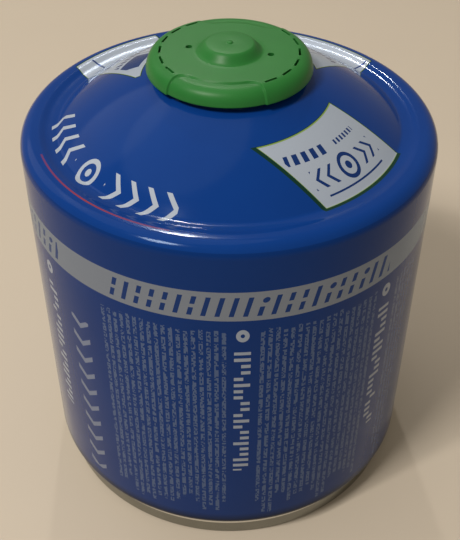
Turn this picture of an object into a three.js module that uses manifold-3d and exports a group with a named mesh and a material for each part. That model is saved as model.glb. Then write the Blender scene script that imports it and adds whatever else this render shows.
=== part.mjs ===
// A valve-type gas cartridge with its push-on plastic cap.
// Millimetres, +Z up. The origin is on the axis, at the plane the can stands on.
import * as THREE from 'three';
import { mergeVertices } from 'three/addons/utils/BufferGeometryUtils.js';
import Module from 'manifold-3d';

const wasm = await Module();
wasm.setup();

// Can body: wall, rounded shoulder, groove and dome, drawn in one piece.
const canRadius = 54;
const wallTopZ = 105.9;
const shoulderRadius = 3.6;
const grooveWidth = 6.6;
const grooveDepth = 0.8;
const domeFootRise = 0.4;
const crestWidth = 1.6;
const grooveBedWidth = 2.8;
const domeFootSlope = 37.5;
const domeTopSlope = 19.5;
const neckLand = 3;

// Bottom end: seamed rim, chuck wall and a panel domed into the can.
const seamHeight = 5.6;
const seamThickness = 3.1;
const seamInset = 2.1;
const seamRound = 1;
const neckInHeight = 3.4;
const countersinkDepth = 5.6;
const panelRise = 7.5;
const steelThickness = 0.8;

// Valve cup: rolled flange, recess and central boss, pressed from tinplate.
const flangeRadius = 17.6;
const flangeHeight = 2.7;
const flangeWidth = 3.1;
const cupThickness = 0.6;
const cupDepth = 9.8;
const bossRadius = 5;
const bossStep = 0.2;
const bossHoleRadius = 2.2;
const cupCornerRadius = 1.1;
const gasketThickness = 0.6;

// Valve inside the boss.
const sealThickness = 1.6;
const sealHoleRadius = 1.3;
const housingWall = 0.8;
const housingLength = 20;
const inletRadius = 0.9;
const plungerHeadHeight = 2;
const plungerTailLength = 4;
const stubReach = 1.9;
const springWire = 0.5;
const springTurns = 6;

// Cap: moulded in one piece, with a raised middle, two holes, slots and two finger pads.
const capOverhang = 3.3;
const capHeight = 4.2;
const capWall = 1.3;
const discInset = 3.6;
const skirtHeight = 2.1;
const skirtDraft = 0.7;
const hubBaseRadius = 8.1;
const hubTopRadius = 6.1;
const hubHeight = 2.2;
const hubFillet = 0.5;
const shoulderBulge = 0.5;
const nubRadius = 0.8;
const nubHeight = 0.35;
const holeRadius = 0.85;
const holeSpread = 10.3;
const slotLength = 3.5;
const slotWidth = 0.6;
const slotPitch = 18;
const slotsEachSide = 6;
const lugHeight = 0.8;
const lugInset = 0.1;
const lugClearance = 0.3;
const padHalfAngle = 36;
const padInset = 0.7;
const padDepth = 0.4;
const padCornerRadius = 2;
const padStep = 0.1;
const padLip = 0.8;
const capTurn = -10.6;

// Clearances between fitted pieces, and the facets round a turned piece.
const fit = 0.3;
const runningFit = 0.3;
const cutOver = 1;
const bodyFacets = 48;
const smallFacets = 36;
const valveFacets = 24;
const domeSteps = 7;
const wireSides = 6;
const stepsEachTurn = 12;

const rad = THREE.MathUtils.degToRad;

// Heights and radii that follow from the sizes above.
const crestRadius = canRadius - shoulderRadius;
const crestZ = wallTopZ + shoulderRadius;
const domeFootRadius = crestRadius - grooveWidth;
const grooveZ = crestZ - grooveDepth;
const domeFootZ = grooveZ + domeFootRise;
const neckHoleRadius = flangeRadius - flangeWidth + cupThickness + fit;
const neckTopRadius = neckHoleRadius + neckLand;
const domeRadius = (domeFootRadius - neckTopRadius)
  / (Math.sin(rad(domeFootSlope)) - Math.sin(rad(domeTopSlope)));
const neckTopZ = domeFootZ
  + domeRadius * (Math.cos(rad(domeTopSlope)) - Math.cos(rad(domeFootSlope)));
const seamRadius = canRadius - seamInset;
const chuckRadius = seamRadius - seamThickness;
const flangeBottomZ = neckTopZ + fit + gasketThickness + fit;
const flangeTopZ = flangeBottomZ + flangeHeight;
const cupFloorZ = flangeTopZ - cupDepth;
const cupInnerRadius = flangeRadius - flangeWidth;
const bossTopZ = flangeTopZ + bossStep;
const bossBoreRadius = bossRadius - cupThickness;
const sealTopZ = bossTopZ - cupThickness - fit;
const sealBottomZ = sealTopZ - sealThickness;
const housingRadius = bossBoreRadius - fit;
const housingBore = housingRadius - housingWall;
const housingTopZ = sealBottomZ - fit;
const housingBottomZ = housingTopZ - housingLength;
const plungerTopZ = housingTopZ - fit;
const plungerRadius = housingBore - runningFit;
const stubRadius = sealHoleRadius - runningFit;
const capTopZ = flangeTopZ + fit + capWall;
const capBottomZ = capTopZ - capHeight;
const capRadius = flangeRadius + capOverhang;
const discRadius = capRadius - discInset;
const padTopRadius = discRadius - padInset;
const skirtInner = capRadius - skirtDraft - capWall;

// A solid turned about the Z axis from an outline of radius and height.
function turned(path, facets, steps = 2) {
  const points = path.getPoints(steps);
  const kept = points.filter((p, i) => i === 0 || p.distanceTo(points[i - 1]) > 1e-4);
  const geometry = new THREE.LatheGeometry(kept.map((p) => new THREE.Vector2(p.x, p.y)), facets);
  geometry.rotateX(Math.PI / 2);
  return merged(geometry);
}

// Drops normals and uvs and merges shared corners, and the slivers that lie on the axis.
function merged(geometry) {
  const bare = geometry.index ? geometry : geometry.clone();
  bare.deleteAttribute('normal');
  bare.deleteAttribute('uv');
  const joined = mergeVertices(bare, 1e-4);
  const index = joined.index.array;
  const good = [];
  for (let i = 0; i < index.length; i += 3) {
    const [a, b, c] = [index[i], index[i + 1], index[i + 2]];
    if (a !== b && b !== c && c !== a) {
      good.push(a, b, c);
    }
  }
  joined.setIndex(good);
  return joined;
}

function solid(geometry) {
  return new wasm.Manifold(new wasm.Mesh({
    numProp: 3,
    vertProperties: Float32Array.from(geometry.attributes.position.array),
    triVerts: Uint32Array.from(geometry.index.array),
  }));
}

function geometryOf(manifold) {
  const mesh = manifold.getMesh();
  const geometry = new THREE.BufferGeometry();
  geometry.setAttribute('position', new THREE.BufferAttribute(Float32Array.from(mesh.vertProperties), 3));
  geometry.setIndex(Array.from(mesh.triVerts));
  return geometry;
}

function named(name, geometry, material) {
  geometry.computeVertexNormals();
  const mesh = new THREE.Mesh(geometry, material);
  mesh.name = name;
  return mesh;
}

const bluePaint = new THREE.MeshStandardMaterial({ color: 0x0b3a86, roughness: 0.25, metalness: 0.1 });
const tinplate = new THREE.MeshStandardMaterial({ color: 0xb4b1a8, roughness: 0.3, metalness: 1 });
const greenPlastic = new THREE.MeshStandardMaterial({ color: 0x2f8f3f, roughness: 0.42, metalness: 0 });
const blackRubber = new THREE.MeshStandardMaterial({ color: 0x1c1c1e, roughness: 0.8, metalness: 0 });
const whitePlastic = new THREE.MeshStandardMaterial({ color: 0xdcdad2, roughness: 0.5, metalness: 0 });
const springSteel = new THREE.MeshStandardMaterial({ color: 0x9a9a9c, roughness: 0.35, metalness: 1 });

// Height of the bottom panel's upper face at a radius: a low spherical rise.
function panelZ(radius) {
  const share = radius / (chuckRadius - steelThickness);
  return countersinkDepth + steelThickness + panelRise * (1 - share * share);
}

const panelStations = [0, 0.25, 0.5, 0.75, 0.92];

// Blue steel body, filled: wall, shoulder, groove and dome outside, the wells for valve and
// bottom end inside.
function bodyOutline() {
  const path = new THREE.Path();
  const wellRadius = housingRadius + fit;
  const neckedRadius = seamRadius - steelThickness - fit;
  const floorRadius = chuckRadius - steelThickness;
  path.moveTo(0, panelZ(0) + fit);
  for (const share of panelStations.slice(1)) {
    path.lineTo(floorRadius * share, panelZ(floorRadius * share) + fit);
  }
  path.lineTo(floorRadius, seamHeight + steelThickness + fit);
  path.lineTo(neckedRadius, seamHeight + fit);
  path.quadraticCurveTo(canRadius, seamHeight + fit + neckInHeight / 3,
    canRadius, seamHeight + fit + neckInHeight);
  path.lineTo(canRadius, wallTopZ);
  path.absarc(crestRadius, wallTopZ, shoulderRadius, 0, Math.PI / 2, false);
  path.quadraticCurveTo(crestRadius - crestWidth, crestZ, crestRadius - (crestWidth + grooveWidth
    - grooveBedWidth) / 2, (crestZ + grooveZ) / 2);
  path.quadraticCurveTo(domeFootRadius + grooveBedWidth, grooveZ, domeFootRadius, domeFootZ);
  for (let step = 1; step <= domeSteps; step += 1) {
    const slope = rad(domeFootSlope + (domeTopSlope - domeFootSlope) * step / domeSteps);
    path.lineTo(
      domeFootRadius - domeRadius * (Math.sin(rad(domeFootSlope)) - Math.sin(slope)),
      domeFootZ + domeRadius * (Math.cos(slope) - Math.cos(rad(domeFootSlope))),
    );
  }
  path.lineTo(neckHoleRadius, neckTopZ);
  path.lineTo(neckHoleRadius, cupFloorZ - cupThickness - fit);
  path.lineTo(wellRadius, cupFloorZ - cupThickness - fit);
  path.lineTo(wellRadius, housingBottomZ - fit);
  path.lineTo(0, housingBottomZ - fit);
  return path;
}

// Bare steel bottom end: the rolled seam is the rim that the can stands on.
function bottomOutline() {
  const path = new THREE.Path();
  const upper = seamHeight - steelThickness;
  const panelEdge = chuckRadius - steelThickness;
  path.moveTo(0, panelZ(0) - steelThickness);
  for (const share of panelStations.slice(1)) {
    path.lineTo(panelEdge * share, panelZ(panelEdge * share) - steelThickness);
  }
  path.lineTo(panelEdge, countersinkDepth - steelThickness / 2);
  path.lineTo(chuckRadius, countersinkDepth - steelThickness * 2);
  path.lineTo(chuckRadius, seamRound);
  path.absarc(chuckRadius + seamRound, seamRound, seamRound, Math.PI, Math.PI * 1.5, false);
  path.absarc(seamRadius - seamRound, seamRound, seamRound, -Math.PI / 2, 0, false);
  path.lineTo(seamRadius, upper);
  path.quadraticCurveTo(seamRadius, seamHeight, seamRadius - steelThickness, seamHeight);
  path.lineTo(chuckRadius, seamHeight);
  path.lineTo(panelEdge, countersinkDepth + steelThickness);
  for (const share of panelStations.slice(1).reverse()) {
    path.lineTo(panelEdge * share, panelZ(panelEdge * share));
  }
  path.lineTo(0, panelZ(0));
  return path;
}

// Tinplate valve cup: one pressed sheet, from the rolled flange down and up to the boss.
function cupOutline() {
  const path = new THREE.Path();
  const round = flangeHeight / 2;
  const corner = cupCornerRadius;
  const wallOuter = cupInnerRadius + cupThickness;
  path.moveTo(bossHoleRadius, bossTopZ - cupThickness);
  path.lineTo(bossBoreRadius, bossTopZ - cupThickness);
  path.lineTo(bossBoreRadius, cupFloorZ - cupThickness);
  path.lineTo(wallOuter - corner, cupFloorZ - cupThickness);
  path.absarc(wallOuter - corner, cupFloorZ - cupThickness + corner, corner, -Math.PI / 2, 0, false);
  path.lineTo(wallOuter, flangeBottomZ);
  path.lineTo(flangeRadius - round, flangeBottomZ);
  path.absarc(flangeRadius - round, flangeBottomZ + round, round, -Math.PI / 2, Math.PI / 2, false);
  path.absarc(cupInnerRadius + round, flangeBottomZ + round, round, Math.PI / 2, Math.PI, false);
  path.lineTo(cupInnerRadius, cupFloorZ + corner);
  path.absarc(cupInnerRadius - corner, cupFloorZ + corner, corner, 0, -Math.PI / 2, true);
  path.lineTo(bossRadius + corner, cupFloorZ);
  path.absarc(bossRadius + corner, cupFloorZ + corner, corner, -Math.PI / 2, -Math.PI, true);
  path.lineTo(bossRadius, bossTopZ - cupThickness);
  path.absarc(bossRadius - cupThickness, bossTopZ - cupThickness, cupThickness, 0, Math.PI / 2, false);
  path.lineTo(bossHoleRadius, bossTopZ);
  path.lineTo(bossHoleRadius, bossTopZ - cupThickness);
  return path;
}

// A plain ring of rectangular section.
function ringOutline(inner, outer, bottom, top) {
  const path = new THREE.Path();
  path.moveTo(inner, bottom);
  path.lineTo(outer, bottom);
  path.lineTo(outer, top);
  path.lineTo(inner, top);
  path.lineTo(inner, bottom);
  return path;
}

// Plastic housing: a tube with a floor and an inlet hole.
function housingOutline() {
  const path = new THREE.Path();
  path.moveTo(inletRadius, housingBottomZ);
  path.lineTo(housingRadius, housingBottomZ);
  path.lineTo(housingRadius, housingTopZ);
  path.lineTo(housingBore, housingTopZ);
  path.lineTo(housingBore, housingBottomZ + housingWall);
  path.lineTo(inletRadius, housingBottomZ + housingWall);
  path.lineTo(inletRadius, housingBottomZ);
  return path;
}

// Plunger: stub through the seal, head under it and a tail that centres the spring.
function plungerOutline() {
  const path = new THREE.Path();
  const headBottomZ = plungerTopZ - plungerHeadHeight;
  const tailRadius = plungerRadius - springWire - 2 * runningFit;
  path.moveTo(0, headBottomZ - plungerTailLength);
  path.lineTo(tailRadius, headBottomZ - plungerTailLength);
  path.lineTo(tailRadius, headBottomZ);
  path.lineTo(plungerRadius, headBottomZ);
  path.lineTo(plungerRadius, plungerTopZ);
  path.lineTo(stubRadius, plungerTopZ);
  path.lineTo(stubRadius, plungerTopZ + stubReach);
  path.lineTo(0, plungerTopZ + stubReach);
  return path;
}

// Spring: a round wire wound round the plunger's tail, down to the housing's floor.
function springGeometry() {
  const coilRadius = plungerRadius - springWire / 2;
  const bottom = housingBottomZ + housingWall + fit + springWire / 2;
  const top = plungerTopZ - plungerHeadHeight - fit - springWire / 2;
  class Helix extends THREE.Curve {
    getPoint(share, target = new THREE.Vector3()) {
      const angle = share * springTurns * Math.PI * 2;
      return target.set(coilRadius * Math.cos(angle), coilRadius * Math.sin(angle),
        bottom + (top - bottom) * share);
    }
  }
  const wire = new THREE.Shape();
  for (let corner = 0; corner < wireSides; corner += 1) {
    const angle = corner * Math.PI * 2 / wireSides;
    const point = [springWire / 2 * Math.cos(angle), springWire / 2 * Math.sin(angle)];
    if (corner === 0) {
      wire.moveTo(...point);
    } else {
      wire.lineTo(...point);
    }
  }
  wire.closePath();
  return merged(new THREE.ExtrudeGeometry(wire, {
    steps: springTurns * stepsEachTurn,
    bevelEnabled: false,
    extrudePath: new Helix(),
    curveSegments: 1,
  }));
}

// Cap shell: raised middle, disc, sloped shoulder and drafted skirt, hollow underneath.
function capOutline() {
  const path = new THREE.Path();
  const shoulderZ = capBottomZ + skirtHeight;
  const hubTopZ = capTopZ + hubHeight;
  const under = capTopZ - capWall;
  path.moveTo(0, hubTopZ - capWall);
  path.lineTo(hubTopRadius - capWall / 2, hubTopZ - capWall);
  path.lineTo(hubBaseRadius - capWall / 2, under);
  path.lineTo(discRadius - capWall / 2, under);
  path.lineTo(skirtInner, shoulderZ - capWall / 2);
  path.lineTo(capRadius - capWall, capBottomZ);
  path.lineTo(capRadius, capBottomZ);
  path.lineTo(capRadius - skirtDraft, shoulderZ);
  path.quadraticCurveTo(capRadius - skirtDraft - shoulderBulge, capTopZ - shoulderBulge, discRadius, capTopZ);
  path.lineTo(hubBaseRadius + hubFillet, capTopZ);
  path.quadraticCurveTo(hubBaseRadius, capTopZ, hubBaseRadius - hubFillet / 2, capTopZ + hubFillet);
  path.lineTo(hubTopRadius + hubFillet / 2, hubTopZ - hubFillet);
  path.quadraticCurveTo(hubTopRadius, hubTopZ, hubTopRadius - hubFillet, hubTopZ);
  path.lineTo(nubRadius, hubTopZ);
  path.lineTo(nubRadius - nubHeight, hubTopZ + nubHeight);
  path.lineTo(0, hubTopZ + nubHeight);
  return path;
}

// What is cut away to leave one finger pad: outside the pad's rounded face, within its angle.
function padCutter() {
  const reach = capRadius + cutOver;
  const ring = new THREE.Path();
  ring.moveTo(padTopRadius, capTopZ + cutOver);
  ring.lineTo(padTopRadius, capTopZ - padStep);
  ring.quadraticCurveTo(capRadius - padDepth, capTopZ - padDepth, capRadius - padDepth, capBottomZ + padLip);
  ring.lineTo(capRadius - padDepth, capBottomZ - cutOver);
  ring.lineTo(reach, capBottomZ - cutOver);
  ring.lineTo(reach, capTopZ + cutOver);
  ring.lineTo(padTopRadius, capTopZ + cutOver);
  const half = rad(padHalfAngle);
  const turnIn = padCornerRadius / padTopRadius;
  const plan = new THREE.Shape();
  plan.moveTo(reach * 2 * Math.cos(half), reach * 2 * Math.sin(-half));
  plan.lineTo(reach * 2 * Math.cos(half), reach * 2 * Math.sin(half));
  plan.lineTo((padTopRadius + padCornerRadius) * Math.cos(half), (padTopRadius + padCornerRadius) * Math.sin(half));
  plan.quadraticCurveTo(padTopRadius * Math.cos(half), padTopRadius * Math.sin(half),
    padTopRadius * Math.cos(half - turnIn), padTopRadius * Math.sin(half - turnIn));
  plan.absarc(0, 0, padTopRadius, half - turnIn, -half + turnIn, true);
  plan.quadraticCurveTo(padTopRadius * Math.cos(half), -padTopRadius * Math.sin(half),
    (padTopRadius + padCornerRadius) * Math.cos(half), -(padTopRadius + padCornerRadius) * Math.sin(half));
  const wedge = new THREE.ExtrudeGeometry(plan, {
    depth: capHeight + 4 * cutOver,
    bevelEnabled: false,
    curveSegments: 12,
  });
  wedge.translate(0, 0, capBottomZ - 2 * cutOver);
  return solid(turned(ring, smallFacets, 4)).intersect(solid(merged(wedge)));
}

// A block centred at a radius and angle from the hole line, with its length along the circle.
function blockAt(radius, degrees, depth, length, bottom, top) {
  const block = new THREE.BoxGeometry(depth, length, top - bottom);
  block.translate(radius, 0, (top + bottom) / 2);
  block.rotateZ(rad(degrees));
  return solid(merged(block));
}

function capSolid() {
  let cap = solid(turned(capOutline(), smallFacets, 3));
  const lugInner = flangeRadius + lugClearance;
  const lugOuter = skirtInner + capWall / 2;
  const pad = padCutter();
  for (const side of [0, 180]) {
    cap = cap.subtract(pad.rotate([0, 0, side + 90]));
    const hole = new THREE.CylinderGeometry(holeRadius, holeRadius, capWall * 3, 16);
    hole.rotateX(Math.PI / 2);
    hole.translate(holeSpread, 0, capTopZ - capWall / 2);
    hole.rotateZ(rad(side));
    cap = cap.subtract(solid(merged(hole)));
    for (let slot = 0; slot < slotsEachSide; slot += 1) {
      const angle = side + (slot - (slotsEachSide - 1) / 2) * slotPitch;
      cap = cap.subtract(blockAt(discRadius, angle, slotWidth, slotLength, capTopZ - capWall - cutOver, capTopZ + cutOver));
      cap = cap.add(blockAt((lugInner + lugOuter) / 2, angle, lugOuter - lugInner, slotLength,
        capBottomZ + lugInset, capBottomZ + lugInset + lugHeight));
    }
  }
  return geometryOf(cap);
}

const group = new THREE.Group();
group.add(named('body', turned(bodyOutline(), bodyFacets, 3), bluePaint));
group.add(named('bottom_end', turned(bottomOutline(), bodyFacets), tinplate));
group.add(named('cup_gasket', turned(ringOutline(neckHoleRadius + fit, flangeRadius - fit,
  neckTopZ + fit, neckTopZ + fit + gasketThickness), smallFacets), blackRubber));
group.add(named('valve_cup', turned(cupOutline(), smallFacets), tinplate));
group.add(named('valve_seal', turned(ringOutline(sealHoleRadius, bossBoreRadius - fit,
  sealBottomZ, sealTopZ), valveFacets), blackRubber));
group.add(named('valve_housing', turned(housingOutline(), valveFacets), whitePlastic));
group.add(named('valve_plunger', turned(plungerOutline(), valveFacets), whitePlastic));
group.add(named('valve_spring', springGeometry(), springSteel));

const cap = named('cap', capSolid(), greenPlastic);
cap.rotation.z = rad(capTurn);
group.add(cap);

export default group;
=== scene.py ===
"""A gas cartridge with its push-on cap: turned metal and plastic pieces with procedural finishes."""

import math

import bmesh
import bpy
from mathutils import Matrix, Vector


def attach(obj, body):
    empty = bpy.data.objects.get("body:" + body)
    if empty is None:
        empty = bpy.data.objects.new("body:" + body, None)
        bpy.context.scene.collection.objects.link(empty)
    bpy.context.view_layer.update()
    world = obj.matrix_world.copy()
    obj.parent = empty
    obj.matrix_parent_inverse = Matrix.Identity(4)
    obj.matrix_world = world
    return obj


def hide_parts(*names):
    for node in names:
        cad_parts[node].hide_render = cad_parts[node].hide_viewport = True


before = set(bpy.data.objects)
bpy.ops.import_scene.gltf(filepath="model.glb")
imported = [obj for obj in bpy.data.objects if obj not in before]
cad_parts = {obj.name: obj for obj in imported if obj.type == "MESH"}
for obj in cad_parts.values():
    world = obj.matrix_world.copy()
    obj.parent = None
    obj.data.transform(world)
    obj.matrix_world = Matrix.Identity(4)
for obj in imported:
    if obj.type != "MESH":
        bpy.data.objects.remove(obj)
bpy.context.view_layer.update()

MM = 0.001

# Sizes of the can body, in millimetres, as in the part.
CAN_RADIUS = 54.0
WALL_TOP_Z = 105.9
SHOULDER_RADIUS = 3.6
GROOVE_WIDTH = 6.6
GROOVE_DEPTH = 0.8
CREST_WIDTH = 1.6
GROOVE_BED = 2.8
DOME_FOOT_RISE = 0.4
DOME_FOOT_FILLET = 0.9
FILLET_SHARE = 0.58
GROOVE_SOFT = 1.0
CREST_LAND = 1.3
DOME_FOOT_SLOPE = 37.5
DOME_TOP_SLOPE = 19.5
NECK_LAND = 3.0
STEEL = 0.8
FIT = 0.3

# Bottom end.
SEAM_HEIGHT = 5.6
SEAM_THICKNESS = 3.1
SEAM_INSET = 2.1
SEAM_ROUND = 1.0
NECK_IN = 3.4
COUNTERSINK = 5.6
PANEL_RISE = 7.5

# Valve cup.
FLANGE_RADIUS = 17.6
FLANGE_HEIGHT = 2.7
FLANGE_WIDTH = 3.1
CUP_SHEET = 0.6
CUP_DEPTH = 9.8
CUP_CORNER = 1.1
BOSS_RADIUS = 5.0
BOSS_STEP = 0.2
BOSS_HOLE = 2.2
GASKET = 0.6

# Cap.
CAP_RADIUS = 20.9
CAP_HEIGHT = 4.2
CAP_WALL = 1.3
DISC_RADIUS = 17.3
SKIRT_HEIGHT = 2.1
SKIRT_DRAFT = 0.7
SHOULDER_BULGE = 0.5
HUB_BASE = 8.1
HUB_TOP = 6.1
HUB_HEIGHT = 2.2
HUB_SOFT = 0.40
NUB_RADIUS = 0.8
NUB_HEIGHT = 0.35
HOLE_RADIUS = 0.85
HOLE_SPREAD = 10.3
SLOT_LENGTH = 3.5
SLOT_WIDTH = 0.6
SLOT_PITCH = 18.0
SLOTS_EACH_SIDE = 6
PAD_HALF_ANGLE = 36.0
PAD_TOP_RADIUS = 15.5
PAD_DEPTH = 0.45
BACK_PAD_SHARE = 0.4
PAD_CORNER = 3.0
PAD_EDGE = 0.40
LUG_HEIGHT = 0.8
LUG_INSET = 0.1
LUG_CLEARANCE = 0.3
LUG_LEAD = 0.5
LUG_NOSE = 0.1
LUG_END_PINCH = 0.75
LUG_STEPS = 5
CAP_TURN = -10.6
RIM_ROUND = 0.25
RIM_BAND = 0.7
RIM_TAPER = 0.1
DISC_RINGS = (16.8, 16.3, 16.0, 15.85, 15.7, 15.5, 14.6, 13.0, 10.0)
HUB_RING = 3.0
HUB_STEPS = 16
NUB_FOOT = 1.7
NUB_DIP = 1.2
NUB_DIP_DEPTH = 0.05

# Fineness of the meshes.
SHARP_ANGLE = math.radians(32.0)
ROUND_STEPS = 240
CUP_STEPS = 128
PANEL_STEPS = 12
DOME_STEPS = 20
HOLE_SIDES = 32
EDGE_FAN = 8
EDGE_FAN_STEP = 0.3
SAME_POINT = 1e-4
ON_AXIS = 1e-6
WELD = 1e-7

# Heights and radii that follow.
CREST_RADIUS = CAN_RADIUS - SHOULDER_RADIUS
CREST_Z = WALL_TOP_Z + SHOULDER_RADIUS
DOME_FOOT = CREST_RADIUS - GROOVE_WIDTH
GROOVE_Z = CREST_Z - GROOVE_DEPTH
DOME_FOOT_Z = GROOVE_Z + DOME_FOOT_RISE
NECK_HOLE = FLANGE_RADIUS - FLANGE_WIDTH + CUP_SHEET + FIT
NECK_TOP = NECK_HOLE + NECK_LAND
SIN_FOOT = math.sin(math.radians(DOME_FOOT_SLOPE))
COS_FOOT = math.cos(math.radians(DOME_FOOT_SLOPE))
DOME_RADIUS = (DOME_FOOT - NECK_TOP) / (SIN_FOOT - math.sin(math.radians(DOME_TOP_SLOPE)))
NECK_TOP_Z = DOME_FOOT_Z + DOME_RADIUS * (math.cos(math.radians(DOME_TOP_SLOPE)) - COS_FOOT)
SEAM_RADIUS = CAN_RADIUS - SEAM_INSET
CHUCK_RADIUS = SEAM_RADIUS - SEAM_THICKNESS
FLANGE_BOTTOM_Z = NECK_TOP_Z + FIT + GASKET + FIT
FLANGE_TOP_Z = FLANGE_BOTTOM_Z + FLANGE_HEIGHT
CUP_FLOOR_Z = FLANGE_TOP_Z - CUP_DEPTH
CUP_INNER = FLANGE_RADIUS - FLANGE_WIDTH
BOSS_TOP_Z = FLANGE_TOP_Z + BOSS_STEP
CAP_TOP_Z = FLANGE_TOP_Z + FIT + CAP_WALL
CAP_BOTTOM_Z = CAP_TOP_Z - CAP_HEIGHT
SKIRT_INNER = CAP_RADIUS - SKIRT_DRAFT - CAP_WALL
CAP_FACE_START = (CAP_RADIUS - RIM_ROUND, CAP_BOTTOM_Z)


class Outline:
    """A closed outline of radius and height, made of lines, arcs and curves."""

    def __init__(self, radius, z):
        self.points = [(radius, z)]

    def line(self, radius, z):
        self.points.append((radius, z))

    def curve(self, control_r, control_z, radius, z, steps=8):
        r0, z0 = self.points[-1]
        for step in range(1, steps + 1):
            t = step / steps
            a, b, c = (1 - t) ** 2, 2 * t * (1 - t), t * t
            self.points.append((a * r0 + b * control_r + c * radius, a * z0 + b * control_z + c * z))

    def arc(self, centre_r, centre_z, radius, start, end, steps=8):
        for step in range(steps + 1):
            angle = math.radians(start + (end - start) * step / steps)
            self.points.append((centre_r + radius * math.cos(angle), centre_z + radius * math.sin(angle)))

    def clean(self):
        kept = []
        for point in self.points:
            if not kept or math.dist(point, kept[-1]) > SAME_POINT:
                kept.append(point)
        if math.dist(kept[0], kept[-1]) < SAME_POINT:
            kept.pop()
        return kept


def place_piece(name, data):
    piece = bpy.data.objects.new(name, data)
    bpy.context.collection.objects.link(piece)
    return piece


def smooth(mesh):
    for polygon in mesh.polygons:
        polygon.use_smooth = True
    mesh.set_sharp_from_angle(angle=SHARP_ANGLE)


def turned_point(radius, z, angle):
    return (radius * math.sin(angle) * MM, -radius * math.cos(angle) * MM, z * MM)


def mesh_object(name, vertices, faces):
    mesh = bpy.data.meshes.new(name)
    mesh.from_pydata(vertices, [], faces)
    mesh.update()
    work = bmesh.new()
    work.from_mesh(mesh)
    bmesh.ops.remove_doubles(work, verts=work.verts, dist=WELD)
    bmesh.ops.recalc_face_normals(work, faces=work.faces)
    work.to_mesh(mesh)
    work.free()
    smooth(mesh)
    return place_piece(name, mesh)


def turned(name, points, angles, shape=None):
    """Turns an outline about Z at the given angles. shape may move each point before it is turned."""
    rings = []
    vertices = []
    for angle in angles:
        ring = []
        for index, (radius, z) in enumerate(points):
            if shape:
                radius, z = shape(index, radius, z, angle)
            ring.append(len(vertices))
            vertices.append(turned_point(radius, z, angle))
        rings.append(ring)
    faces = []
    count = len(points)
    for k, ring in enumerate(rings):
        following = rings[(k + 1) % len(rings)]
        for i in range(count):
            j = (i + 1) % count
            on_axis_i = points[i][0] < ON_AXIS
            on_axis_j = points[j][0] < ON_AXIS
            if on_axis_i and on_axis_j:
                continue
            if on_axis_i:
                faces.append((ring[i], following[j], ring[j]))
            elif on_axis_j:
                faces.append((ring[i], following[i], ring[j]))
            else:
                faces.append((ring[i], following[i], following[j], ring[j]))
    return mesh_object(name, vertices, faces)


def even_angles(count):
    return [2 * math.pi * k / count for k in range(count)]


def panel_z(radius):
    share = radius / (CHUCK_RADIUS - STEEL)
    return COUNTERSINK + STEEL + PANEL_RISE * (1 - share * share)


def body_points():
    out = Outline(0, panel_z(0) + FIT)
    floor = CHUCK_RADIUS - STEEL
    necked = SEAM_RADIUS - STEEL - FIT
    for step in range(1, PANEL_STEPS):
        out.line(floor * step / PANEL_STEPS, panel_z(floor * step / PANEL_STEPS) + FIT)
    out.line(floor, SEAM_HEIGHT + STEEL + FIT)
    out.line(necked, SEAM_HEIGHT + FIT)
    out.curve(CAN_RADIUS, SEAM_HEIGHT + FIT + NECK_IN / 3, CAN_RADIUS, SEAM_HEIGHT + FIT + NECK_IN, 10)
    out.line(CAN_RADIUS, WALL_TOP_Z)
    out.arc(CREST_RADIUS, WALL_TOP_Z, SHOULDER_RADIUS, 0, 90, 16)
    out.line(CREST_RADIUS - CREST_LAND / 2, CREST_Z)
    out.line(CREST_RADIUS - CREST_LAND, CREST_Z)
    middle = CREST_RADIUS - (CREST_WIDTH + GROOVE_WIDTH - GROOVE_BED) / 2
    out.curve(middle + GROOVE_SOFT, CREST_Z, middle, (CREST_Z + GROOVE_Z) / 2)
    out.curve(middle - GROOVE_SOFT, GROOVE_Z, DOME_FOOT + DOME_FOOT_FILLET, GROOVE_Z)
    out.curve(DOME_FOOT + DOME_FOOT_FILLET * FILLET_SHARE, GROOVE_Z, DOME_FOOT, DOME_FOOT_Z, 6)
    for step in range(1, DOME_STEPS + 1):
        slope = math.radians(DOME_FOOT_SLOPE + (DOME_TOP_SLOPE - DOME_FOOT_SLOPE) * step / DOME_STEPS)
        out.line(DOME_FOOT - DOME_RADIUS * (SIN_FOOT - math.sin(slope)),
                 DOME_FOOT_Z + DOME_RADIUS * (math.cos(slope) - COS_FOOT))
    out.line(NECK_HOLE, NECK_TOP_Z)
    out.line(NECK_HOLE, CUP_FLOOR_Z - CUP_SHEET - FIT)
    out.line(0, CUP_FLOOR_Z - CUP_SHEET - FIT)
    return out.clean()


def bottom_points():
    edge = CHUCK_RADIUS - STEEL
    stations = [edge * step / PANEL_STEPS for step in range(PANEL_STEPS)]
    out = Outline(0, panel_z(0) - STEEL)
    for radius in stations[1:]:
        out.line(radius, panel_z(radius) - STEEL)
    out.line(edge, COUNTERSINK - STEEL / 2)
    out.line(CHUCK_RADIUS, COUNTERSINK - STEEL * 2)
    out.line(CHUCK_RADIUS, SEAM_ROUND)
    out.arc(CHUCK_RADIUS + SEAM_ROUND, SEAM_ROUND, SEAM_ROUND, 180, 270)
    out.arc(SEAM_RADIUS - SEAM_ROUND, SEAM_ROUND, SEAM_ROUND, 270, 360)
    out.line(SEAM_RADIUS, SEAM_HEIGHT - STEEL)
    out.curve(SEAM_RADIUS, SEAM_HEIGHT, SEAM_RADIUS - STEEL, SEAM_HEIGHT)
    out.line(CHUCK_RADIUS, SEAM_HEIGHT)
    out.line(edge, COUNTERSINK + STEEL)
    for radius in reversed(stations[1:]):
        out.line(radius, panel_z(radius))
    out.line(0, panel_z(0))
    return out.clean()


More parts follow.
